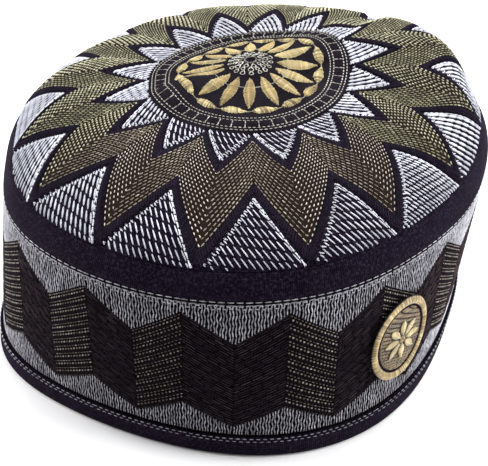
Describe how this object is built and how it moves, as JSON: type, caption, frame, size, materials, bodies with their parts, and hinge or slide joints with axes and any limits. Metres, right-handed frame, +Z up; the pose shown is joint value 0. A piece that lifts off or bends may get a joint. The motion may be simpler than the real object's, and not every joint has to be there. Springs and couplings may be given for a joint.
{
  "type": "kufi cap",
  "caption": "Stiff embroidered round cap with an upright zigzag wall, a black strip and hem, and a domed star crown; it is worn on the head.",
  "frame": {"origin": "centre of the cap's box, on the floor that the rim rests on", "axes": "+Z up through the crown, Y along the long way from brow to nape, +X towards the side that carries the badge"},
  "size_m": [0.1722, 0.1956, 0.1026],
  "materials": {
    "wall_cloth": "quilted cloth stitched in light grey thread, with a thick dark brown zigzag",
    "black_cloth": "plain matt black cloth",
    "star_cloth": "black cloth stitched in gold-olive and bluish white thread",
    "gold_thread": "satin gold embroidery on black cloth"
  },
  "bodies": {
    "root": {"band": "wall_cloth", "hem_binding": "black_cloth", "crown_edge": "black_cloth", "crown": "star_cloth", "medallion": "gold_thread", "badge": "gold_thread"}
  },
  "joints": []
}
